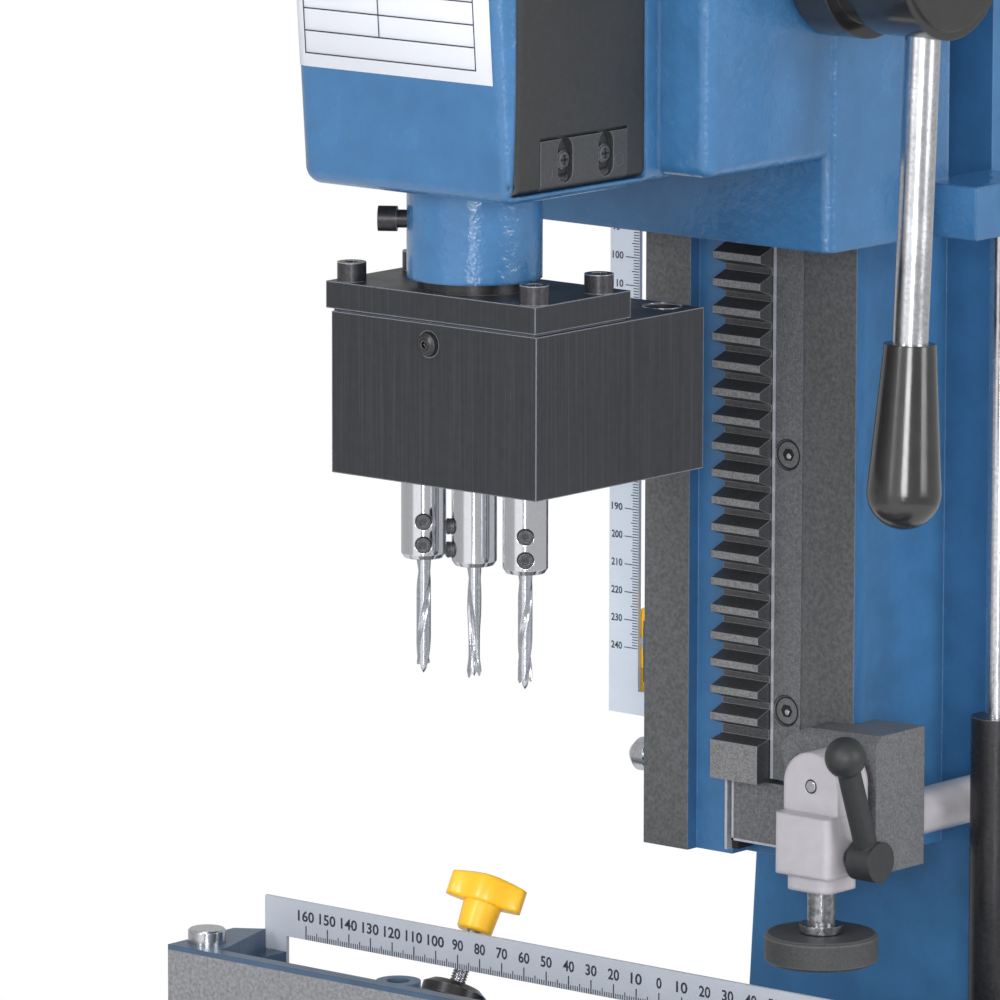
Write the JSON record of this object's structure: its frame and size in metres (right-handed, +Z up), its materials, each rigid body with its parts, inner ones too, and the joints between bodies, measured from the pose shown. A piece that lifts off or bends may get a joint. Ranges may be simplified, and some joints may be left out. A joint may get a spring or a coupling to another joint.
{
  "type": "hollow chisel mortiser",
  "caption": "Floor-standing mortiser: dovetail column and rack, hand-fed motor head with drilling gearbox, cross-slide table, fence, rules and hold-down.",
  "frame": {"origin": "centre of the floor bolt pattern, on the floor under the base plate", "axes": "+Z up; the operator stands on the -Y side; +X is the operator's right as they face the machine"},
  "size_m": [0.5425, 0.586, 1.658],
  "materials": {
    "blue_enamel": "glossy hammered mid-blue enamel on cast iron, fine orange-peel relief",
    "charcoal_enamel": "satin dark grey enamel",
    "black_parts": "satin black",
    "way_iron": "ground cast iron, slightly stained, oiled",
    "rack_steel": "milled dark steel",
    "black_oxide": "black oxide with a dull sheen",
    "turned_steel": "bright turned steel",
    "bit_steel": "bright ground tool steel",
    "bright_zinc": "bright zinc-plated steel",
    "scale_enamel": "satin pale blue-grey enamelled sheet with printed black scale",
    "fence_grey": "blue enamel, its working face ground to bare grey",
    "table_iron": "ground cast iron",
    "clamp_white": "satin off-white enamel",
    "yellow_knob": "glossy yellow plastic",
    "bushing": "sintered bronze",
    "wheel_black": "polished black phenolic",
    "green_button": "glossy green plastic",
    "red_button": "glossy red plastic",
    "motor_blue": "blue enamel on cast aluminium",
    "fan_plastic": "matte black plastic"
  },
  "bodies": {
    "frame": {"pedestal": "blue_enamel", "column": "blue_enamel", "rack": "rack_steel", "way_strip": "way_iron", "strip_screws": "black_oxide", "frame_bolts": "bright_zinc", "knee": "blue_enamel", "depth_scale": "scale_enamel", "clamp_bracket": "charcoal_enamel", "switch_box": "black_parts", "gas_spring_tube": "black_oxide"},
    "start_button": {"start_button": "green_button"},
    "stop_button": {"stop_button": "red_button"},
    "head": {"head_casting": "blue_enamel", "head_gib": "way_iron", "motor_housing": "motor_blue", "fan_cover": "charcoal_enamel", "bearings": "bushing", "mounting_bush": "black_oxide", "neck_bolt": "black_oxide", "gearbox_body": "charcoal_enamel", "gearbox_lid": "charcoal_enamel", "lid_screws": "black_oxide", "gas_spring_rod": "bright_zinc"},
    "right_door": {"right_door": "black_parts", "right_hinge_leaf": "black_oxide", "right_leaf_screws": "black_oxide"},
    "left_door": {"left_door": "black_parts", "left_hinge_leaf": "black_oxide", "left_leaf_screws": "black_oxide"},
    "drive": {"motor_rotor": "turned_steel", "cooling_fan": "fan_plastic", "drill_chuck": "turned_steel", "middle_spindle": "turned_steel", "middle_bit": "bit_steel"},
    "left_drill": {"left_spindle": "turned_steel", "left_bit": "bit_steel"},
    "right_drill": {"right_spindle": "turned_steel", "right_bit": "bit_steel"},
    "feed": {"feed_shaft": "rack_steel", "feed_hub": "wheel_black", "feed_spokes": "bright_zinc", "spoke_grips": "wheel_black"},
    "depth_stop": {"depth_stop": "black_oxide"},
    "depth_knob": {"depth_knob": "yellow_knob"},
    "clamp_arm": {"clamp_housing": "clamp_white"},
    "clamp_rod": {"clamp_rod": "rack_steel"},
    "clamp_foot": {"clamp_foot": "black_oxide"},
    "clamp_lever": {"clamp_lever": "black_parts"},
    "saddle": {"saddle": "blue_enamel"},
    "table": {"table": "table_iron", "fence": "fence_grey", "ruler": "scale_enamel", "fence_pins": "bright_zinc", "knob_boss": "black_oxide"},
    "x_feed": {"x_screw": "turned_steel", "x_wheel": "wheel_black"},
    "y_feed": {"y_screw": "turned_steel", "y_wheel": "wheel_black"},
    "stop_knob": {"stop_knob": "yellow_knob"}
  },
  "joints": [
    {"name": "head_slide", "type": "slide", "parent": "frame", "child": "head", "axis": [0, 0, 1], "range_m": [-0.15, 0], "stiffness_N_per_m": 250, "springref_m": 2},
    {"name": "feed_turn", "type": "hinge", "parent": "head", "child": "feed", "pos_m": [0, -0.0849, 1.312], "axis": [1, 0, 0], "range_deg": [0, 239]},
    {"name": "drive_turn", "type": "hinge", "parent": "head", "child": "drive", "pos_m": [0, -0.19, 1.14], "axis": [0, 0, -1], "continuous": true},
    {"name": "left_drill_turn", "type": "hinge", "parent": "head", "child": "left_drill", "pos_m": [-0.022, -0.19, 1.14], "axis": [0, 0, -1], "continuous": true},
    {"name": "right_drill_turn", "type": "hinge", "parent": "head", "child": "right_drill", "pos_m": [0.022, -0.19, 1.14], "axis": [0, 0, -1], "continuous": true},
    {"name": "right_door_hinge", "type": "hinge", "parent": "head", "child": "right_door", "pos_m": [0.0419, -0.19025, 1.2443], "axis": [0, 1, 0], "range_deg": [0, 90]},
    {"name": "left_door_hinge", "type": "hinge", "parent": "head", "child": "left_door", "pos_m": [-0.0419, -0.19025, 1.2443], "axis": [0, -1, 0], "range_deg": [0, 90]},
    {"name": "depth_stop_slide", "type": "slide", "parent": "frame", "child": "depth_stop", "axis": [0, 0, 1], "range_m": [-0.012, 0.15]},
    {"name": "depth_knob_turn", "type": "hinge", "parent": "depth_stop", "child": "depth_knob", "pos_m": [-0.0881, 0.02, 1.0454], "axis": [0, 1, 0], "range_deg": [-180, 180]},
    {"name": "clamp_reach", "type": "slide", "parent": "frame", "child": "clamp_arm", "axis": [0, -1, 0], "range_m": [0, 0.04]},
    {"name": "clamp_height", "type": "slide", "parent": "clamp_arm", "child": "clamp_rod", "axis": [0, 0, 1], "range_m": [-0.015, 0]},
    {"name": "clamp_foot_swivel", "type": "hinge", "parent": "clamp_rod", "child": "clamp_foot", "pos_m": [0.0544, -0.072, 0.97], "axis": [0, 0, 1], "continuous": true},
    {"name": "clamp_lever_turn", "type": "hinge", "parent": "clamp_arm", "child": "clamp_lever", "pos_m": [0.068, -0.072, 1.0022], "axis": [1, 0, 0], "range_deg": [-60, 60]},
    {"name": "saddle_slide", "type": "slide", "parent": "frame", "child": "saddle", "axis": [0, 1, 0], "range_m": [-0.035, 0.025]},
    {"name": "y_wheel_turn", "type": "hinge", "parent": "frame", "child": "y_feed", "pos_m": [0, -0.27, 0.78], "axis": [0, 1, 0], "range_deg": [-640, 460]},
    {"name": "table_slide", "type": "slide", "parent": "saddle", "child": "table", "axis": [1, 0, 0], "range_m": [-0.09, 0.09]},
    {"name": "x_wheel_turn", "type": "hinge", "parent": "table", "child": "x_feed", "pos_m": [0.24, -0.168, 0.83], "axis": [1, 0, 0], "range_deg": [-1630, 1630]},
    {"name": "stop_knob_turn", "type": "hinge", "parent": "table", "child": "stop_knob", "pos_m": [-0.0915, -0.09, 0.94], "axis": [0, 0.4695, 0.8829], "range_deg": [-180, 180]},
    {"name": "start_press", "type": "slide", "parent": "frame", "child": "start_button", "axis": [0, 1, 0], "range_m": [0, 0.003], "stiffness_N_per_m": 600},
    {"name": "stop_press", "type": "slide", "parent": "frame", "child": "stop_button", "axis": [0, 1, 0], "range_m": [0, 0.003], "stiffness_N_per_m": 600}
  ],
  "couplings": [
    {"joint": "feed_turn", "follows": "head_slide", "rad_per_m": -27.778},
    {"joint": "left_drill_turn", "follows": "drive_turn", "ratio": -1},
    {"joint": "right_drill_turn", "follows": "drive_turn", "ratio": -1},
    {"joint": "y_wheel_turn", "follows": "saddle_slide", "rad_per_m": 314.16},
    {"joint": "x_wheel_turn", "follows": "table_slide", "rad_per_m": 314.16}
  ]
}
